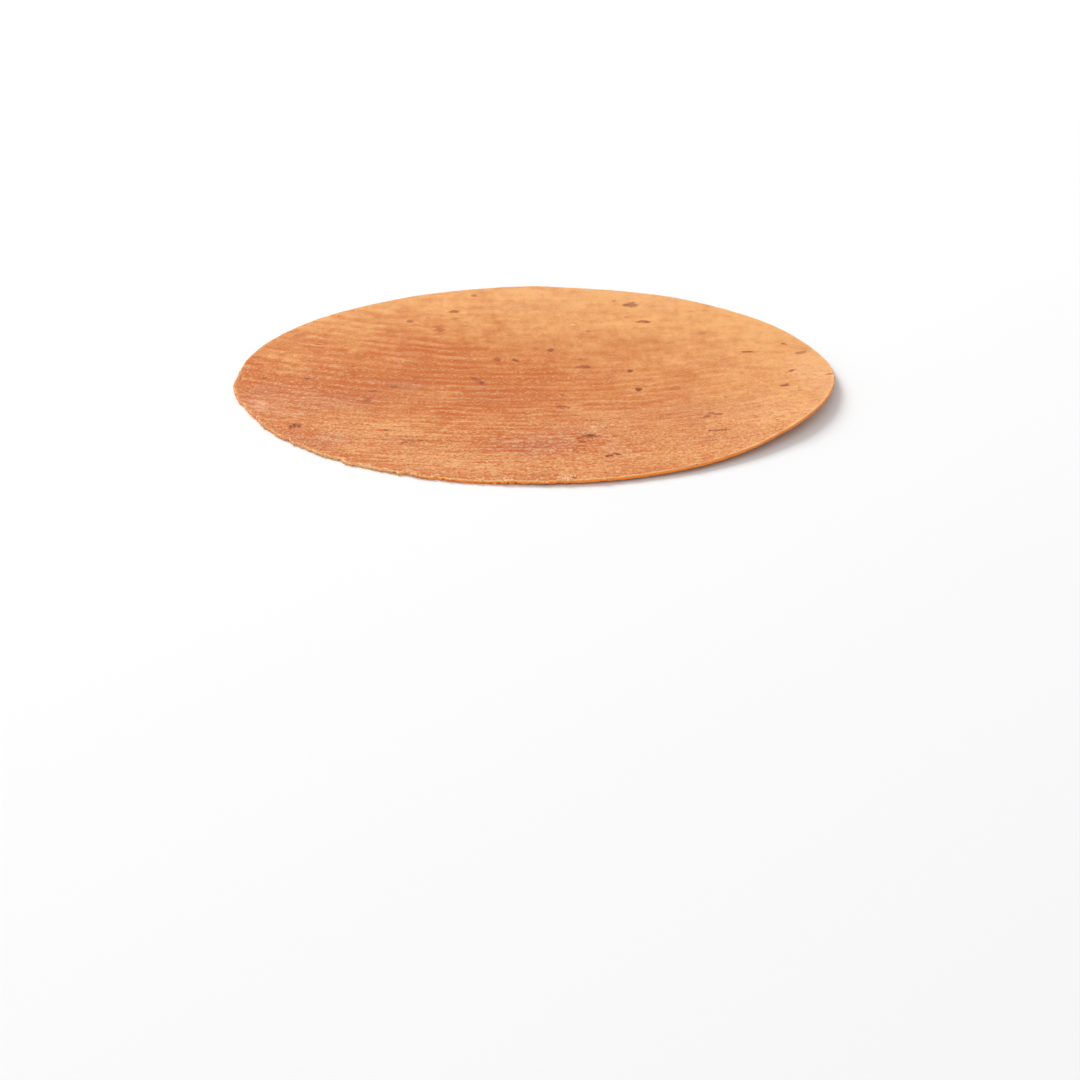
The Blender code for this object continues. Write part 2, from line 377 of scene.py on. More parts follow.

# %% [markdown]
# ## Toast with painted shade and sheen, blush and yellow patches
# The griddle browns the bread unevenly, and this browning also carries painted light and shade. The
# darker middle left is partly browning and partly painted shade of shallow dips. The paler rim at
# the back and on the right is a painted sheen of the light behind. Here and there the brown turns
# dull and rosy, and a few thin places went yellow. Each is a sum of soft round patches, which the
# finish later reads by name.

# %% Soft patches: x, y, half width, half depth in millimetres, and strength
# These patches are browning and painted shade of shallow dips together.
TOAST_AND_SHADE = (
    (-44, 50, 26, 18, 0.17),
    (-18, -3, 44, 34, 0.55),
    (-55, 8, 34, 24, 0.2),
    (-78, -15, 18, 26, 0.2),
    (2, -60, 26, 14, 0.25),
    (30, -20, 34, 34, 0.12),
    (-31, 50, 14, 13, 0.34),
    (-60, 42, 14, 10, 0.15),
    (-8, 14, 8, 14, -0.12),
    (21, -38, 9, 12, -0.12),
    (-9, -35, 8, 8, 0.14),
    (51, -6, 9, 9, 0.09),
    (43, 55, 12, 16, -0.14),
    (52, -66, 9, 6, -0.2),
    (-68, -58, 14, 14, 0.2),
    (-30, 9, 9, 5, 0.1),
    (51, 19, 11, 11, -0.14),
    (-22, -72, 12, 8, -0.14),
    (9, -6, 7, 6, -0.24),
    (-24, 71, 13, 7, 0.12),
    (24, 56, 8, 7, 0.14),
    (53, -38, 17, 18, 0.09),
    (22, 40, 12, 9, 0.08),
    (22, 76, 16, 8, -0.1),
    (-80, 25, 8, 8, -0.1),
    (-65, 10, 9, 7, 0.16),
    (-50, 11, 9, 8, -0.13),
    (55, 10, 8, 7, -0.08),
    (70, 10, 8, 7, 0.05),
    (-50, -35, 8, 6, -0.06),
    (-10, -12, 14, 10, 0.08),
    (-50, -20, 9, 6, 0.08),
    (-3, -66, 10, 6, 0.08),
    (32, -66, 16, 7, 0.08),
    (0, -82, 30, 5, 0.08),
    (0, -48, 12, 7, -0.1),
    (40, 25, 8, 8, -0.08),
    (0, 27, 8, 7, -0.05),
    (-5, 42, 9, 7, -0.12),
    (-35, 72, 8, 7, 0.06),
    (25, 10, 10, 8, 0.1),
    (-20, 40, 10, 8, 0.07),
    (-35, 25, 10, 8, 0.07),
    (-26, 12, 14, 8, 0.05),
    (-60, 50, 14, 9, -0.06),
    (24, 62, 12, 10, 0.08),
    (70, 25, 9, 7, 0.08),
    (-80, -20, 9, 8, 0.08),
    (-76, -32, 9, 9, 0.1),
)
BLUSH = (
    (-3, -60, 12, 8, 0.9),
    (-60, -54, 12, 7, 0.8),
    (-43, -7, 7, 5, 0.8),
    (-70, -22, 18, 14, 0.6),
    (12, -48, 14, 10, 0.5),
    (-12, -14, 12, 8, 0.35),
    (-66, -1, 9, 4, 0.25),
    (0, 70, 12, 6, 0.3),
    (-38, -56, 6, 5, 0.5),
    (-82, -12, 6, 5, 0.5),
    (54, -57, 10, 5, 0.4),
    (45, -32, 22, 9, 0.35),
    (-50, -20, 9, 6, 0.3),
)
YELLOW = (
    (-55, 30, 6, 4, 0.8),
    (-72, 22, 7, 5, 0.4),
    (-24, 57, 9, 6, 0.3),
    (-30, 50, 30, 14, 0.2),
    (-8, 14, 8, 14, 0.25),
    (-22, 40, 6, 7, 0.3),
    (-32, -12, 12, 5, 0.35),
    (-5, 50, 14, 8, 0.3),
    (18, -46, 10, 5, 0.4),
    (62, -5, 14, 10, 0.3),
    (-30, -40, 18, 8, 0.3),
    (-78, 21.7, 4, 4, 0.3),
    (-70, 8, 14, 10, 0.25),
    (38, 62, 26, 16, 0.4),
    (76, 30, 14, 22, 0.3),
    (-62, 48, 16, 12, 0.3),
)
DUST = (
    (-82, -22, 3.5, 5, 0.7),
    (-79, -29, 3, 3, 0.5),
    (-71, -32, 3, 2.5, 0.7),
    (84, 2, 5, 26, 0.35),
    (56, -42, 38, 28, 0.08),
    (-16, -78, 26, 10, 0.2),
    (28, 82, 22, 7, 0.12),
    (-35, -20, 9, 6, 0.15),
    (82, -18, 6, 8, 0.2),
    (25, -35, 9, 6, 0.12),
    (68, -36, 9, 8, 0.15),
    (25, -66, 10, 7, 0.2),
    (40, 72, 9, 6, 0.15),
    (0, 83, 16, 4, 0.12),
)


PATCH_SHIFTS, PATCH_WAVER_SIZE = (5 * MM, 3 * MM), 9 * MM
PAINTED_BACK_SHEEN, PAINTED_RIGHT_SHEEN = 0.42, 0.4
TOAST_CLOUDS = ((0.16, 14 * MM), (0.1, 6 * MM))  # strength and size
SIDEWAYS_CLOUD, SIDEWAYS_STRETCH = (0.1, 4 * MM), 2.2


def patches(x, y, spots, seed):
    """Sum of soft patches with wavering borders."""
    x = x + PATCH_SHIFTS[0] * waver(x, y, PATCH_WAVER_SIZE, seed)
    y = y + PATCH_SHIFTS[1] * waver(x, y, PATCH_WAVER_SIZE, seed + 1)
    total = np.zeros(len(x))
    for spot_x, spot_y, half_width, half_depth, strength in spots:
        aside = (x - spot_x * MM) / (half_width * MM)
        behind = (y - spot_y * MM) / (half_depth * MM)
        total += strength * np.exp(-(aside**2 + behind**2))
    return total


def toast_and_shade(x, y):
    """How brown the bread looks: nought is pale and one is dark brown. This is partly browning,
    partly painted shade of shallow dips, and a painted sheen that is paler towards the back and the
    right.
    """
    # Painted sheen: paler towards the back and the right, where the light falls.
    base = 0.5 - PAINTED_BACK_SHEEN * ease(y, 20 * MM, 80 * MM) - PAINTED_RIGHT_SHEEN * ease(x, 45 * MM, 86 * MM)
    clouds = 0
    for number, (share, size) in enumerate(TOAST_CLOUDS):
        clouds = clouds + share * waver(x, y, size, 21 + number)
    share, size = SIDEWAYS_CLOUD
    drawn_out = share * waver(x / SIDEWAYS_STRETCH, y, size, 19)
    return base + clouds + drawn_out + patches(x, y, TOAST_AND_SHADE, 23)


# %% [markdown]
# ## Relief
# The height of the face is the ripples, a broader unevenness and small bumps of bran, with the
# flakes a little proud of it. Each of them is a quarter of a millimetre at most. It is real mesh,
# so the light picks out the ripples from any side.

# %% Relief of the two faces
RIPPLE_HEIGHT = 0.085 * MM
UNEVEN_HEIGHT, UNEVEN_SIZE = 0.08 * MM, 8 * MM
BRAN_HEIGHT, BRAN_SIZE, SMALL_BRAN_SIZE = 0.03 * MM, 1.6 * MM, 0.9 * MM
FLAKE_HEIGHT = 0.1 * MM
BLISTER_HEIGHT = 0.16 * MM
CRACK_DEPTH = 0.25 * MM


def relief(x, y, flakes, blisters=(), cracks=(), seed=0):
    """Height of a face above its smooth level."""
    ripples = RIPPLE_HEIGHT * crests(x, y, seed) * ripple_strength(x, y)
    uneven = UNEVEN_HEIGHT * waver(x, y, UNEVEN_SIZE, 31 + seed)
    bran = waver(x, y, BRAN_SIZE, 32 + seed) + 0.7 * waver(x, y, SMALL_BRAN_SIZE, 33 + seed)
    height = ripples + uneven + BRAN_HEIGHT * bran
    for spots, proud in ((flakes, FLAKE_HEIGHT), (blisters, BLISTER_HEIGHT), (cracks, -CRACK_DEPTH)):
        cover, strength = spot_cover(x, y, spots)
        height += proud * cover * strength
    return height


# %% [markdown]
# ## The edge
# Dried dough breaks rather than bends, so the edge is a row of tiny teeth and nicks, finer than the
# solid's. Noise at three sizes moves the edge in and out, most at the front left, where the bread
# was handled. The middle size is folded over at nought, which gives sharp points with round bays
# between them. A few larger teeth are listed one by one, and wide, slight sways take the outline off
# the perfect circle. The rim is pale most from the front left on to the right: this is partly pale
# broken dough and partly a painted highlight along the edge.

# %% The ragged outline
EDGE_STEP = 0.32 * MM
EDGE_BENDS = ((0.2 * MM, 2.4 * MM), (0.6 * MM, 0.55 * MM))  # depth and size
EDGE_TEETH = (0.45 * MM, 0.9 * MM)
ROUGH_SIZE = 7 * MM
WORN_SIDE = math.radians(235)
LEAST_WORN = 0.12
CALM_INSET = 0.15 * MM
COARSE_TEETH = 0.7  # of the solid's own
UNDERCUT = 0.45 * MM
TORN_HIGHLIT_FROM, TORN_HIGHLIT_BY = math.radians(210), math.radians(230)
LEAST_TORN_HIGHLIT = 0.45
RIM_WIDTH, RIM_PATCH_SIZE = 0.9 * MM, 2.5 * MM

# turn in degrees, shift in millimetres, then width: of a sway in degrees, of a chip in millimetres
EDGE_SWAYS = ((126, -0.75, 12), (93, 0.9, 8), (61.5, 0.9, 8.5), (272, -0.4, 16))
EDGE_CHIPS = (
    (227, 0.5, 1.2),
    (229.5, -0.5, 1.0),
    (234.5, 0.5, 1.4),
    (244.5, 0.8, 1.6),
    (247.3, -0.6, 1.8),
)
edge_count = round(2 * math.pi * RADIUS / EDGE_STEP)
edge_turns = np.arange(edge_count) * 2 * math.pi / edge_count


def worn(turns):
    """How crumbly the edge is at each angle: most at the front left."""
    return LEAST_WORN + (1 - LEAST_WORN) * ease(np.cos(turns - WORN_SIDE), 0.4, 0.88)


def ragged(turns, seed):
    """Distance from the middle to the crumbly edge at each angle."""
    x, y = RADIUS * np.cos(turns), RADIUS * np.sin(turns)
    calm = edge_at(turns, calm_reach) - CALM_INSET
    reach = calm + COARSE_TEETH * worn(turns) * (edge_at(turns) - calm)
    for sway_turn, shift, width in EDGE_SWAYS:
        reach = reach + shift * MM * np.exp(-(((np.degrees(turns) - sway_turn) / width) ** 2))
    rough = worn(turns) * (0.75 + 0.6 * waver(x, y, ROUGH_SIZE, 47))
    for number, (depth, size) in enumerate(EDGE_BENDS):
        reach = reach + rough * depth * (waver(x, y, size, 41 + number + seed) - 0.3)
    depth, size = EDGE_TEETH
    reach = reach + rough * depth * (0.4 - 2 * abs(waver(x, y, size, 44 + seed)))
    for chip_turn, depth, width in EDGE_CHIPS:
        aside = abs(turns - math.radians(chip_turn)) * RADIUS
        reach = reach + depth * MM * np.clip(1 - 2 * aside / (width * MM), 0, 1)
    return reach


top_edge = ragged(edge_turns, 0)
under_edge = ragged(edge_turns, 5) - UNDERCUT * worn(edge_turns)


def torn_and_highlit(turns):
    """How pale the rim is at each angle, most from the front left on to the right. This is partly
    broken dough and partly a painted highlight.
    """
    return LEAST_TORN_HIGHLIT + (1 - LEAST_TORN_HIGHLIT) * ease(turns % (2 * math.pi), TORN_HIGHLIT_FROM, TORN_HIGHLIT_BY)


def rim_at(x, y):
    """How much of the pale rim shows, broken dough and painted highlight together: up to one at the
    top edge, and nought further in.
    """
    turns = np.arctan2(y, x) % (2 * math.pi)
    to_edge = np.interp(turns, edge_turns, top_edge, period=2 * math.pi) - np.hypot(x, y)
    patchy = 0.45 + 0.5 * worn(turns) + 0.45 * waver(x, y, RIM_PATCH_SIZE, 65)
    return (1 - ease(to_edge, 0, RIM_WIDTH)) * np.clip(patchy, 0, 1) * torn_and_highlit(turns)


# %% [markdown]
# ## A fine triangle sheet
# Rows of staggered points fill each face, with more of them round the flakes, and Blender's Delaunay
# function joins them into even triangles up to the ragged edge. Both faces share that edge's angles,
# so a narrow wall of rings can close the gap between them into one solid sheet.

# %% Points and triangles of a face
TOP_PITCH = 0.7 * MM
UNDER_PITCH = 1.24 * MM
FLAKE_PITCH = 0.34 * MM
JITTER = 0.14  # of the pitch
SPOT_MARGIN = 0.5  # millimetres
EDGE_MARGIN = 0.3 * MM


def rows_of_points(pitch, half_side, x=0.0, y=0.0):
    """Staggered, slightly uneven rows of points round a place."""
    gap = pitch * math.sqrt(3) / 2
    rows = math.ceil(half_side / gap)
    row, column = np.mgrid[-rows : rows + 1, -rows : rows + 1].reshape(2, -1)
    jitter = draw.uniform(-JITTER, JITTER, (2, len(row))) * pitch
    return x + (column + 0.5 * (row % 2)) * pitch + jitter[0], y + row * gap + jitter[1]


def inside(x, y, reach, margin):
    """Which points are at least a margin inside the edge."""
    turn = np.arctan2(y, x) % (2 * math.pi)
    limit = np.interp(turn, edge_turns, reach, period=2 * math.pi)
    return np.hypot(x, y) < limit - margin


def face_of_points(reach, pitch, flakes):
    """Places and triangles of one face; the first places are the edge's."""
    x, y = rows_of_points(pitch, RADIUS)
    busy = np.zeros(len(x), bool)
    extra_x, extra_y = [], []
    for flake_x, flake_y, length, *_ in flakes:
        half = (length / 2 + SPOT_MARGIN) * MM
        busy |= np.hypot(x - flake_x * MM, y - flake_y * MM) < half
        fine_x, fine_y = rows_of_points(FLAKE_PITCH, half, flake_x * MM, flake_y * MM)
        close = np.hypot(fine_x - flake_x * MM, fine_y - flake_y * MM) < half
        extra_x.append(fine_x[close])
        extra_y.append(fine_y[close])
    x, y = np.concatenate([x[~busy], *extra_x]), np.concatenate([y[~busy], *extra_y])
    keep = inside(x, y, reach, EDGE_MARGIN)
    x = np.concatenate([reach * np.cos(edge_turns), x[keep]])
    y = np.concatenate([reach * np.sin(edge_turns), y[keep]])
    rim = [(i, (i + 1) % edge_count) for i in range(edge_count)]
    points, _, triangles, *_ = delaunay_2d_cdt([Vector(p) for p in zip(x, y)], rim, [], 1, 1e-7)
    places = np.array([tuple(p) for p in points])
    return places[:, 0], places[:, 1], np.array(triangles)


top_x, top_y, top_triangles = face_of_points(top_edge, TOP_PITCH, [*top_flakes, *BLISTERS, *CRACKS])
under_x, under_y, under_triangles = face_of_points(under_edge, UNDER_PITCH, under_flakes)
print(len(top_triangles), "triangles on top,", len(under_triangles), "underneath")

# %% [markdown]
# ## Closing the sheet
# Each face gets its height, the underside never below the table. The wall between the two edges is
# crumbly too: its rings stand out a little, more in some places than in others. Where the edge is
# worn the wall slopes in towards the table, as crumbs have gone from its foot. The triangles of the
# underside are turned over so that every face points outwards.

# %% Heights, wall and mesh
WALL_RINGS = 3
WALL_BULGE = (0.26 * MM, 0.34 * MM, 0.22 * MM)  # of each ring, from the top down
WALL_CRUMBLE, WALL_CRUMB_SIZE = 0.14 * MM, 0.5 * MM
LIP_HEIGHT = 0.14 * MM

top_z = lie(top_x, top_y) + THICKNESS + LIP_HEIGHT * rim_at(top_x, top_y)
top_z += relief(top_x, top_y, top_flakes, BLISTERS, CRACKS)
under_z = lie(under_x, under_y) + np.maximum(relief(under_x, under_y, under_flakes, seed=50), 0)
wall_x, wall_y, wall_z = [], [], []
for ring in range(1, WALL_RINGS + 1):
    share = ring / (WALL_RINGS + 1)
    ring_x = top_x[:edge_count] * (1 - share) + under_x[:edge_count] * share
    ring_y = top_y[:edge_count] * (1 - share) + under_y[:edge_count] * share
    crumble = WALL_CRUMBLE * waver(ring_x, ring_y, WALL_CRUMB_SIZE, 60 + ring)
    push = 1 + (WALL_BULGE[ring - 1] + crumble) / RADIUS
    wall_x.append(ring_x * push)
    wall_y.append(ring_y * push)
    wall_z.append(top_z[:edge_count] * (1 - share) + under_z[:edge_count] * share)

sheet_x = np.concatenate([top_x, under_x, *wall_x])
sheet_y = np.concatenate([top_y, under_y, *wall_y])
sheet_z = np.concatenate([top_z, under_z, *wall_z])
first_under, first_wall = len(top_x), len(top_x) + len(under_x)
around = np.arange(edge_count)
wall_rings = [first_wall + ring * edge_count + around for ring in range(WALL_RINGS)]
rings = [around, *wall_rings, first_under + around]
triangles = [top_triangles, (first_under + under_triangles)[:, ::-1]]
for upper, lower in zip(rings, rings[1:]):
    next_upper, next_lower = np.roll(upper, -1), np.roll(lower, -1)
    triangles.append(np.stack([upper, lower, next_lower], 1))
    triangles.append(np.stack([upper, next_lower, next_upper], 1))
triangles = np.concatenate(triangles)


def mesh_object(name, places, faces):
    """A smooth mesh object from arrays of places and triangles."""
    mesh = bpy.data.meshes.new(name)
    mesh.from_pydata(places.tolist(), [], faces.tolist())
    mesh.shade_smooth()
    made = bpy.data.objects.new(name, mesh)
    made.location = MIDDLE
    bpy.context.scene.collection.objects.link(made)
    return made


sheet = mesh_object("roasted_sheet", np.stack([sheet_x, sheet_y, sheet_z], 1), triangles)
for edge in sheet.data.edges:
    start, end = edge.vertices
    edge.use_edge_sharp = start < edge_count and end < edge_count
print("the sheet has", len(triangles), "triangles")

# %% [markdown]
# ## Telling the finish what is where
# The patterns worked out above are stored on the mesh as named values, one for each vertex. The
# finish reads them by name, so colour and relief always agree. The underside gets the same kinds of
# pattern, taken from other places. The rest say where dust, blisters and the crack lie, and where
# the pale rim is. That rim is partly broken dough and partly a painted highlight, which is left off
# the wall's shaded side. They also say how orange the wall is, a painted glow of bounced light that
# is strongest on the shaded side, and how grainy the face is, which is most at the front.

# %% Named values on the sheet
def store(made, name, values):
    """Stores one number for each vertex under a name."""
    layer = made.data.attributes.new(name, "FLOAT", "POINT")
    layer.data.foreach_set("value", values.astype(np.float32))


EDGE_TOAST, TOAST_FADE = 0.22, (3 * MM, 9 * MM)
SHADED_SIDE = math.radians(300)
WALL_RIM_HIGHLIGHT, WALL_ORANGE_AND_GLOW = 0.55, 0.4
GRAIN, FRONT_MORE, BACK_LESS, LEFT_MORE, RIGHT_LESS = 0.65, 0.46, 0.33, 0.25, 0.12

is_under = np.zeros(len(sheet_x), bool)
is_under[first_under:first_wall] = True
sheet_reach = np.hypot(sheet_x, sheet_y)
leaf, leaf_dark = spot_cover(sheet_x, sheet_y, top_flakes)
leaf[is_under], leaf_dark[is_under] = spot_cover(under_x, under_y, under_flakes)
crest = crests(sheet_x, sheet_y) * ripple_strength(sheet_x, sheet_y)
crest[is_under] = crests(under_x, under_y, 50) * ripple_strength(under_x, under_y)
flip = np.where(is_under, -1, 1)
sheet_turn = np.arctan2(sheet_y, sheet_x)
from_edge = edge_at(sheet_turn) - sheet_reach
edge_toast = EDGE_TOAST * worn(sheet_turn) * (1 - ease(from_edge, *TOAST_FADE))
store(sheet, "toast_and_shade", toast_and_shade(sheet_x * flip, sheet_y) + edge_toast)
store(sheet, "blush", patches(sheet_x * flip, sheet_y, BLUSH, 25))
store(sheet, "yellow", patches(sheet_x * flip, sheet_y, YELLOW, 27))
store(sheet, "dust", patches(sheet_x * flip, sheet_y, DUST, 29))
store(sheet, "blister", np.where(is_under, 0, np.prod(spot_cover(sheet_x, sheet_y, BLISTERS), 0)))
store(sheet, "crack", np.where(is_under, 0, np.prod(spot_cover(sheet_x, sheet_y, CRACKS), 0)))
store(sheet, "crest", crest)
store(sheet, "leaf", leaf)
store(sheet, "leaf_dark", leaf_dark)
is_wall = np.arange(len(sheet_x)) >= first_wall
shaded = ease(np.cos(sheet_turn - SHADED_SIDE), 0.45, 0.75)
# Painted highlight: the wall's pale rim is left off its shaded side.
wall_rim_highlight = WALL_RIM_HIGHLIGHT * worn(sheet_turn) * torn_and_highlit(sheet_turn) * (1 - shaded)
store(sheet, "rim", np.where(is_wall, wall_rim_highlight, rim_at(sheet_x, sheet_y)))
# Painted glow: the wall is orange as if lit by light bounced between breads, most on the shaded
# side.
store(sheet, "wall", is_wall * (WALL_ORANGE_AND_GLOW + (1 - WALL_ORANGE_AND_GLOW) * shaded))
grain = GRAIN + FRONT_MORE * ease(-sheet_y, 15 * MM, 60 * MM) - BACK_LESS * ease(sheet_y, 0, 50 * MM)
grain += LEFT_MORE * ease(-sheet_x, 35 * MM, 75 * MM) - RIGHT_LESS * ease(sheet_x, 10 * MM, 40 * MM)
store(sheet, "grain", grain)

# %% [markdown]
# ## Writing materials
# A material is a small network of nodes. One function adds a node, sets it up and links it, and one
# function turns the sRGB hex values that a colour picker shows into Blender's linear colours.

# %% Helpers for materials
def linear(hex_text):
    """An sRGB hex colour as linear red, green, blue and alpha."""
    channels = np.array([int(hex_text[i : i + 2], 16) / 255 for i in (0, 2, 4)])
    values = np.where(channels <= 0.04045, channels / 12.92, ((channels + 0.055) / 1.055) ** 2.4)
    return (*values.tolist(), 1.0)


def add(tree, kind, inputs=(), **settings):
    """Adds a node: settings are its properties, inputs its sockets' values or incoming links."""
    node = tree.nodes.new("ShaderNode" + kind)
    for name, value in settings.items():
        setattr(node, name, value)
    for socket, value in dict(inputs).items():
        if isinstance(value, bpy.types.NodeSocket):
            tree.links.new(value, node.inputs[socket])
        else:
            node.inputs[socket].default_value = value
    return node


def new_material(name):
    """An empty Principled material: the material, its tree and its shader."""
    material = bpy.data.materials.new(name)
    material.use_nodes = True
    return material, material.node_tree, material.node_tree.nodes["Principled BSDF"]


# %% [markdown]
# ## Roasted wholewheat dough
# Dry, matte and porous, made by pressing thin dough on a griddle. The eye gets a warm tan that
# wanders between pale and brown, ripple crests painted lighter and troughs painted darker as painted
# light and shade, grit just under half a millimetre across, and bran specks. The dough was rolled
# both ways: its broad mottle is drawn out sideways, and a finer one, which shows most at the back,
# away from the camera. Flour dust is rubbed on in slanting streaks. Starch has an IOR of about 1.5,
# and a dry crust is rough.

# %% The dough's colour
PALE_DOUGH = "f0ad6c"
BROWN_DOUGH = "c86f31"
# Painted light on crests and grit tops, painted shade in troughs.
CREST_PAINTED_LIGHT = "f8c696"
TROUGH_PAINTED_SHADE = "cc5614"
BLUSH_DOUGH = "b97560"
YELLOW_DOUGH = "f4b46c"
# Orange of the wall: the dough's edge and a painted glow of bounced light.
WALL_DOUGH_AND_GLOW = "ff8c28"
RIM_DOUGH_AND_HIGHLIGHT = "ffd29a"
DUST_DOUGH = "f6bd92"
BLISTER_DOUGH = "ffd596"
CRACK_PAINTED_SHADE = "c2541c"
BRAN = "90401f"
FLOUR = "fdd3a0"
LEAF_HALO = "ad4f28"
LEAF_BROWN = "682e1a"
LEAF_GREY = "96543a"
LEAF_RED = "8c3a2a"

dough, tree, shader = new_material("roasted_wholewheat_dough")
place = add(tree, "TexCoord").outputs["Object"]


def stored(name):
    """A named value of the mesh."""
    return add(tree, "Attribute", attribute_name=name, attribute_type="GEOMETRY").outputs["Fac"]


def cloud(size, detail, rough=0.5, at=None):
    """Noise whose bumps are about one size across."""
    inputs = {"Vector": at or place, "Scale": 0.5 / size, "Detail": detail, "Roughness": rough}
    return add(tree, "TexNoise", inputs).outputs["Fac"]


def remap(value, low_in, high_in, low_out=0.0, high_out=1.0):
    """Moves a range of values to another range and clips it."""
    ends = {"From Min": low_in, "From Max": high_in, "To Min": low_out, "To Max": high_out}
    return add(tree, "MapRange", {"Value": value, **ends}).outputs["Result"]


def math_of(operation, first, second):
    """One calculation with two values."""
    return add(tree, "Math", {0: first, 1: second}, operation=operation).outputs["Value"]


# A Mix node has sockets A and B for each kind of value, so those for colours go by their numbers.
MIX_SHARE, MIX_UNDER, MIX_OVER, MIX_RESULT = 0, 6, 7, 2


def blend(share, under, over):
    """Lays one colour over another by a share."""
    inputs = {MIX_SHARE: share, MIX_UNDER: under, MIX_OVER: over}
    return add(tree, "Mix", inputs, data_type="RGBA").outputs[MIX_RESULT]


def mapped(scale, turn=0.0, kind="POINT"):
    """Places stretched and turned, for a pattern that is drawn out one way."""
    inputs = {"Vector": place, "Rotation": (0, 0, turn), "Scale": scale}
    return add(tree, "Mapping", inputs, vector_type=kind).outputs["Vector"]


DUST_SLANT = math.radians(-28)
leaf_value, grain_value = stored("leaf"), stored("grain")
rolled, drawn_back = mapped((0.55, 1.0, 1.0)), mapped((1.0, 0.45, 1.0))
broad_mottle = remap(cloud(2.2 * MM, 3.0, at=rolled), 0.3, 0.7, -0.15, 0.15)
fine_mottle = remap(cloud(1.3 * MM, 2.0, at=drawn_back), 0.3, 0.7, -0.16, 0.16)
fine_mottle = math_of("MULTIPLY", fine_mottle, math_of("SUBTRACT", 1.4, grain_value))
mottle = math_of("ADD", math_of("ADD", stored("toast_and_shade"), broad_mottle), fine_mottle)
colour = blend(mottle, linear(PALE_DOUGH), linear(BROWN_DOUGH))
colour = blend(remap(stored("blush"), 0.0, 1.0, 0.0, 0.55), colour, linear(BLUSH_DOUGH))
yellow_share = math_of("MULTIPLY", stored("yellow"), remap(cloud(1.6 * MM, 2.0), 0.4, 0.65))
colour = blend(yellow_share, colour, linear(YELLOW_DOUGH))
slanting = mapped((3.0, 1.0, 1.0), DUST_SLANT, "TEXTURE")
dust_streaks = remap(cloud(0.9 * MM, 2.0, at=slanting), 0.4, 0.6, 0.3, 1.5)
dust_share = math_of("MULTIPLY", remap(stored("dust"), 0.0, 1.0, 0.0, 0.8), dust_streaks)
colour = blend(dust_share, colour, linear(DUST_DOUGH))

# %% [markdown]
# The grit is drawn at 0.4 mm, coarser than real flour, so that it still shows. Its height is added
# to the ripples'. High places are painted paler and low ones darker, as painted light on the tops
# and painted shade in the hollows, so the grit breaks up the ripples. Where the face is grainy,
# dashes drawn out sideways are added, as the pin dragged the grit there. Cells of a Voronoi pattern
# give single specks: each cell has a random number, and only a few cells are let through. Pale ones
# are flour and dark ones are bran. Leaf is mottled brown and grey, and redder where the face is
# smooth.

# %% Grit, bran, flour and leaf
GRIT_SIZE = 0.42 * MM
DASH_SIZE = 0.8 * MM
FLOUR_SPACING, FLOUR_SIZE, FLOUR_SHARE = 2.4 * MM, 0.5 * MM, 0.4
BRAN_SPACING, BRAN_SPECK_SIZE, BRAN_SHARE = 2.8 * MM, 0.6 * MM, 0.25

grit_noise = {"Scale": 0.5 / GRIT_SIZE, "Detail": 3.0, "Roughness": 0.6, "Distortion": 0.6}
grit = add(tree, "TexNoise", {"Vector": place, **grit_noise}).outputs["Fac"]
grit_height = math_of("MULTIPLY", grain_value, remap(grit, 0.3, 0.7, -2.1, 2.1))
dashes = remap(cloud(DASH_SIZE, 2.0, at=mapped((0.4, 1.0, 1.0))), 0.3, 0.7, -1.0, 1.0)
dashes = math_of("MULTIPLY", remap(grain_value, 0.7, 1.2), dashes)
height = math_of("ADD", stored("crest"), math_of("ADD", grit_height, dashes))
# Painted light on the high places and painted shade on the low ones.
colour = blend(remap(height, 0.0, 2.0, 0.0, 0.52), colour, linear(CREST_PAINTED_LIGHT))
colour = blend(remap(height, 0.0, -2.0, 0.0, 0.85), colour, linear(TROUGH_PAINTED_SHADE))


def specks(spacing, size, share):
    """Small round specks in a share of the cells of a pattern."""
    cells = add(tree, "TexVoronoi", {"Vector": place, "Scale": 1 / spacing})
    near = remap(cells.outputs["Distance"], size / spacing, 0.6 * size / spacing)
    chosen = add(tree, "SeparateColor", {"Color": cells.outputs["Color"]}).outputs["Red"]
    return math_of("MULTIPLY", near, remap(chosen, share, share - 0.02))


flour_share = math_of("MULTIPLY", specks(FLOUR_SPACING, FLOUR_SIZE, FLOUR_SHARE), 0.4)
bran_share = math_of("MULTIPLY", specks(BRAN_SPACING, BRAN_SPECK_SIZE, BRAN_SHARE), 0.45)
colour = blend(math_of("MULTIPLY", grain_value, flour_share), colour, linear(FLOUR))
colour = blend(math_of("MULTIPLY", grain_value, bran_share), colour, linear(BRAN))

colour = blend(remap(stored("blister"), 0.1, 0.8, 0.0, 0.6), colour, linear(BLISTER_DOUGH))
# Painted shade: the crease of the crack is coloured darker.
colour = blend(remap(stored("crack"), 0.1, 0.6, 0.0, 0.75), colour, linear(CRACK_PAINTED_SHADE))

dark_value = stored("leaf_dark")
frayed = math_of("MULTIPLY", grain_value, remap(cloud(0.4 * MM, 2.0), 0.3, 0.7, -0.6, 0.6))
leaf_core = remap(math_of("ADD", leaf_value, frayed), 0.38, 0.72, 0.0, 0.9)
leaf_colour = blend(remap(cloud(1.1 * MM, 1.0), 0.45, 0.6), linear(LEAF_BROWN), linear(LEAF_GREY))
leaf_colour = blend(remap(grain_value, 0.8, 0.4, 0.0, 0.7), leaf_colour, linear(LEAF_RED))
halo_share = math_of("MULTIPLY", dark_value, remap(leaf_value, 0.05, 0.6, 0.0, 0.5))
colour = blend(halo_share, colour, linear(LEAF_HALO))
colour = blend(math_of("MULTIPLY", dark_value, leaf_core), colour, leaf_colour)
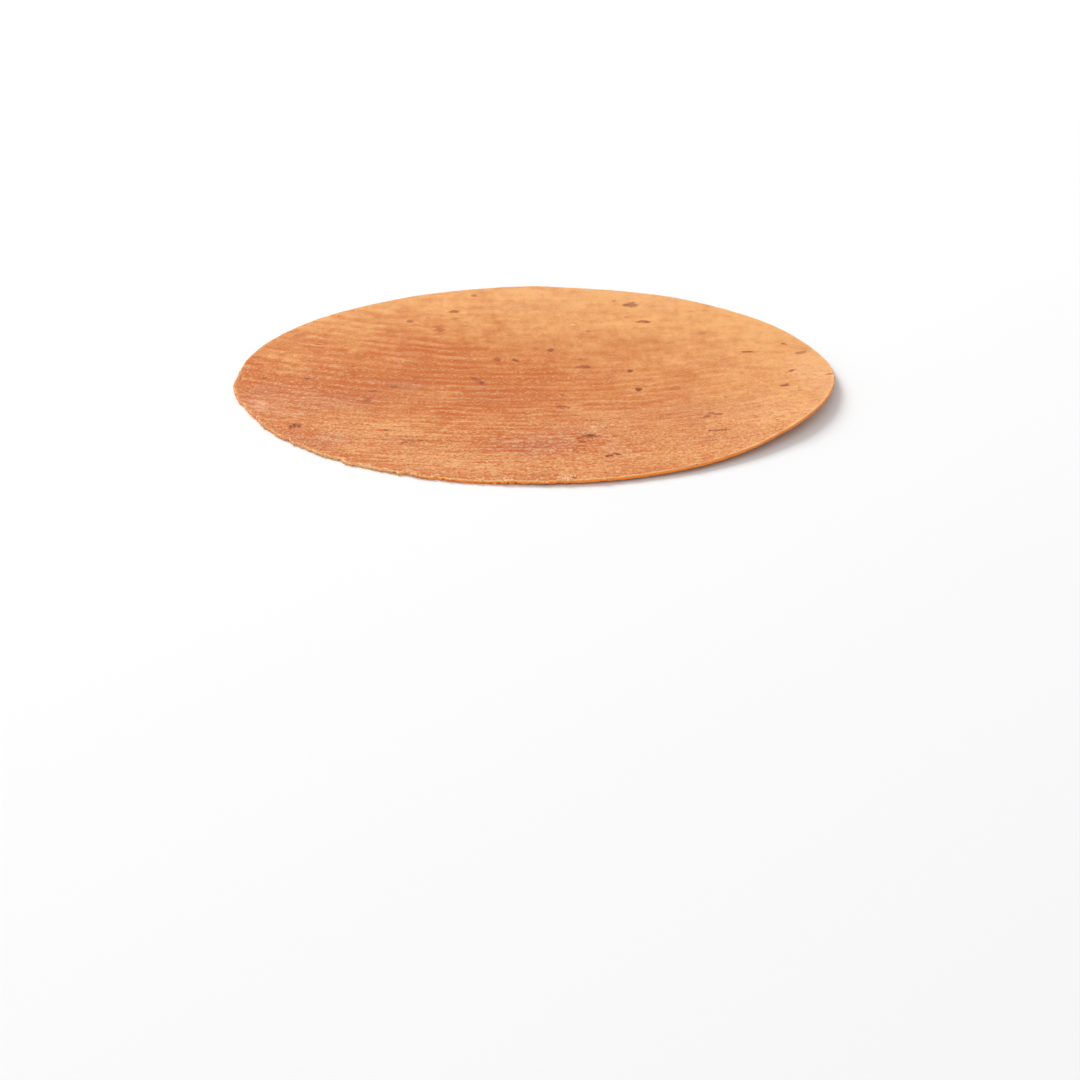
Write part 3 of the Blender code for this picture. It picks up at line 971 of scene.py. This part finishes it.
# Painted glow of bounced light on the wall, over the dough's own edge colour.
wall_glow_share = math_of("MULTIPLY", stored("wall"), remap(grit, 0.35, 0.6, 1.0, 0.85))
colour = blend(wall_glow_share, colour, linear(WALL_DOUGH_AND_GLOW))
# Pale rim: partly broken dough, partly a painted highlight along the edge.
colour = blend(remap(stored("rim"), 0.0, 1.0, 0.0, 0.85), colour, linear(RIM_DOUGH_AND_HIGHLIGHT))

# %% [markdown]
# The finest relief is left to a bump: pores and grit a few hundredths of a millimetre deep. The
# roughness wanders a little, as browned spots are smoother than floury ones.

# %% The dough's surface
PORE_SIZE, PORE_DEPTH = 0.5 * MM, 0.07 * MM
DOUGH_IOR, DOUGH_GLOSS = 1.5, 0.12

pores = math_of("ADD", cloud(PORE_SIZE, 3.0, 0.65), math_of("MULTIPLY", cloud(1.3 * MM, 2.0), 0.8))
pores = math_of("MULTIPLY", pores, grain_value)
bump = add(tree, "Bump", {"Height": pores, "Strength": 0.7, "Distance": PORE_DEPTH})
tree.links.new(bump.outputs["Normal"], shader.inputs["Normal"])
tree.links.new(colour, shader.inputs["Base Color"])
tree.links.new(remap(grit, 0.3, 0.7, 0.58, 0.78), shader.inputs["Roughness"])
shader.inputs["IOR"].default_value = DOUGH_IOR
shader.inputs["Specular IOR Level"].default_value = DOUGH_GLOSS
shader.inputs["Subsurface Weight"].default_value = 0.25
shader.inputs["Subsurface Radius"].default_value = (1.0, 0.4, 0.12)
shader.inputs["Subsurface Scale"].default_value = 1.2 * MM
sheet.data.materials.append(dough)

# %% [markdown]
# ## Crumbs
# Broken dough leaves pale crumbs. They cling along the edge, thickest at the front left, with a few
# heaps of larger ones at the front, and some lie on the face. Each is an uneven little lump: a
# twelve-cornered ball whose corners are pushed about. All of them are joined into one mesh.

# %% Lumps on the edge and the face
EDGE_CRUMBS = 1100  # tried; those where the edge is hardly worn are dropped
FACE_CRUMBS, FACE_SHARE = 140, 0.97  # how many, and how far out on the way to the edge
CRUMB_SIZES = (0.08, 0.26)
EDGE_GROWTH, HEAP_GROWTH = 1.25, 1.9
CRUMB_FLATNESS, CRUMB_LIFT = 0.7, 0.4
CORNER_PUSH, SIDE_STRETCH = (0.65, 1.25), (0.7, 1.3)
LONGEST_SIDE = 1.2  # of a ball's triangles; corners further apart aren't neighbours

# turn in degrees, width and depth in millimetres, and how many
CRUMB_HEAPS = (
    (246.5, 4.0, 1.5, 60),
    (251.5, 1.2, 1.0, 14),
    (260, 1.5, 1.0, 16),
    (265.1, 2.2, 3.5, 40),
    (275.6, 3.4, 4.5, 120),
    (282.4, 1.0, 1.5, 10),
    (300.1, 1.0, 1.0, 8),
)


def ball():
    """Corners and triangles of a twelve-cornered ball of radius one."""
    golden = (1 + math.sqrt(5)) / 2
    spots = []
    for a in (-1, 1):
        for b in (-golden, golden):
            spots += [(0, a, b), (a, b, 0), (b, 0, a)]
    spots = np.array(spots) / math.hypot(1, golden)
    faces = []
    for i in range(12):
        for j in range(i + 1, 12):
            for k in range(j + 1, 12):
                trio = spots[[i, j, k]]
                if max(np.linalg.norm(trio - np.roll(trio, 1, 0), axis=1)) < LONGEST_SIDE:
                    outward = np.linalg.det(trio) > 0
                    faces.append((i, j, k) if outward else (i, k, j))
    return spots, np.array(faces)


def lumps(name, x, y, z, sizes, flatness):
    """One mesh of many uneven lumps at the places given."""
    spots, faces = ball()
    shape = spots[None] * draw.uniform(*CORNER_PUSH, (len(x), 12, 1))
    stretch = draw.uniform(*SIDE_STRETCH, (len(x), 1, 3))
    shape = shape * sizes[:, None, None] * stretch * [1, 1, flatness]
    places = shape + np.stack([x, y, z], 1)[:, None]
    numbers = faces[None] + 12 * np.arange(len(x))[:, None, None]
    return mesh_object(name, places.reshape(-1, 3), numbers.reshape(-1, 3))


crumb_turn = draw.uniform(0, 2 * math.pi, EDGE_CRUMBS)
crumb_turn = crumb_turn[worn(crumb_turn) > draw.uniform(0.2, 1.2, EDGE_CRUMBS)]
crumb_in = abs(draw.normal(0.05, 0.3, len(crumb_turn))) * MM
for heap_turn, width, depth, count in CRUMB_HEAPS:
    aside = draw.normal(0, width / 3, count) * MM / RADIUS
    crumb_turn = np.concatenate([crumb_turn, math.radians(heap_turn) + aside])
    crumb_in = np.concatenate([crumb_in, draw.uniform(0, 1, count) ** 1.5 * depth * MM])
crumb_reach = np.interp(crumb_turn, edge_turns, top_edge, period=2 * math.pi) - crumb_in
edge_x, edge_y = crumb_reach * np.cos(crumb_turn), crumb_reach * np.sin(crumb_turn)
face_turn = draw.uniform(0, 2 * math.pi, FACE_CRUMBS)
face_reach = FACE_SHARE * RADIUS * np.sqrt(draw.uniform(size=FACE_CRUMBS))
crumb_x = np.concatenate([edge_x, face_reach * np.cos(face_turn)])
crumb_y = np.concatenate([edge_y, face_reach * np.sin(face_turn)])
single_count = len(edge_x) - sum(count for *_, count in CRUMB_HEAPS)
crumb_size = draw.uniform(*CRUMB_SIZES, len(crumb_x)) * MM
crumb_size[:single_count] *= EDGE_GROWTH
crumb_size[single_count : len(edge_x)] *= HEAP_GROWTH
crumb_z = lie(crumb_x, crumb_y) + THICKNESS + relief(crumb_x, crumb_y, top_flakes)
crumb_z += CRUMB_LIFT * crumb_size
crumbs = lumps("dough_crumbs", crumb_x, crumb_y, crumb_z, crumb_size, CRUMB_FLATNESS)
print(len(crumb_x), "crumbs")

# %% [markdown]
# Crumbs are the same dough with its pale inside showing, so they are lighter and drier than the
# face. One colour for all would look like beads, so each lump's place picks its tint.

# %% The crumbs' finish
CRUMB_PALE = "ffd8a8"
CRUMB_BROWN = "f8b47c"
crumb_dough, tree, shader = new_material("dry_dough_crumb")
place = add(tree, "TexCoord").outputs["Object"]
crumb_colour = blend(remap(cloud(0.9 * MM, 1.0), 0.4, 0.6), linear(CRUMB_PALE), linear(CRUMB_BROWN))
tree.links.new(crumb_colour, shader.inputs["Base Color"])
shader.inputs["Roughness"].default_value = 0.8
shader.inputs["IOR"].default_value = DOUGH_IOR
shader.inputs["Specular IOR Level"].default_value = DOUGH_GLOSS
crumbs.data.materials.append(crumb_dough)

# %% [markdown]
# ## Joining the model
# The sheet stands for the plain solid, so the solid is hidden and the sheet rides in its place. The
# crumbs ride on the same body.

# %% Riding on the frame
for piece in (sheet, crumbs):
    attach(piece, "root")
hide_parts("khakhra")

# %% [markdown]
# ## Paper, light and camera
# The bread lies on white paper, as in a shop's product picture. A broad soft light stands behind it
# to the left, so the ripples catch it on their far slopes. A weak one in front brightens the broken
# edge, and the bright surroundings fill the shadows. The camera looks down at about twenty degrees
# through a long lens.

# %% The paper
PAPER_SIZE = 6.0
PAPER_WHITE = "f8f8f8"
half = PAPER_SIZE / 2
paper_corners = [(-half, -half, 0), (half, -half, 0), (half, half, 0), (-half, half, 0)]
paper_mesh = bpy.data.meshes.new("white_paper")
paper_mesh.from_pydata(paper_corners, [], [(0, 1, 2, 3)])
paper = bpy.data.objects.new("white_paper", paper_mesh)
bpy.context.scene.collection.objects.link(paper)
matte_paper, tree, shader = new_material("matte_white_paper")
shader.inputs["Base Color"].default_value = linear(PAPER_WHITE)
shader.inputs["Roughness"].default_value = 0.9
paper.data.materials.append(matte_paper)
paper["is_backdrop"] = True

# %% The lights
KEY_PLACE = (-1.5, 2.0, 1.9)
KEY_SIZE = 1.6
KEY_POWER = 78.0
FILL_PLACE = (-0.7, -2.2, 0.5)
FILL_SIZE = 1.4
FILL_POWER = 12.0
SKY_STRENGTH = 0.58


def area_light(name, at, size, power):
    """A soft square light that faces the middle of the bread."""
    lamp = bpy.data.lights.new(name, "AREA")
    lamp.size = size
    lamp.energy = power
    made = bpy.data.objects.new(name, lamp)
    made.location = at
    made.rotation_euler = (-Vector(at)).to_track_quat("-Z", "Y").to_euler()
    bpy.context.scene.collection.objects.link(made)


area_light("soft_box", KEY_PLACE, KEY_SIZE, KEY_POWER)
area_light("front_fill", FILL_PLACE, FILL_SIZE, FILL_POWER)
world = bpy.data.worlds.new("bright_room")
world.use_nodes = True
sky = world.node_tree.nodes["Background"]
sky.inputs["Color"].default_value = linear("ffffff")
sky.inputs["Strength"].default_value = SKY_STRENGTH
bpy.context.scene.world = world
bpy.context.scene.view_settings.view_transform = "Standard"

# %% The camera
CAMERA_AT = (1.8 * MM, -1078.6 * MM, 375.3 * MM)
CAMERA_DOWN = 21.6
FIELD_OF_VIEW = 16.3
SENSOR = 36
lens = bpy.data.cameras.new("camera")
lens.sensor_width = SENSOR
lens.lens = SENSOR / 2 / math.tan(math.radians(FIELD_OF_VIEW / 2))
camera = bpy.data.objects.new("camera", lens)
camera.location = CAMERA_AT
camera.rotation_euler = (math.radians(90 - CAMERA_DOWN), 0, 0)
bpy.context.scene.collection.objects.link(camera)
bpy.context.scene.camera = camera

# %% [markdown]
# ## The size
# The dressed bread has to stay as large as the solid. Both boxes are printed.

# %% Both boxes, and the end
new_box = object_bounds()
for name, (lowest, highest) in (("solid", cad_box), ("dressed", new_box)):
    print(name, "measures", [round(side / MM, 2) for side in highest - lowest], "mm")
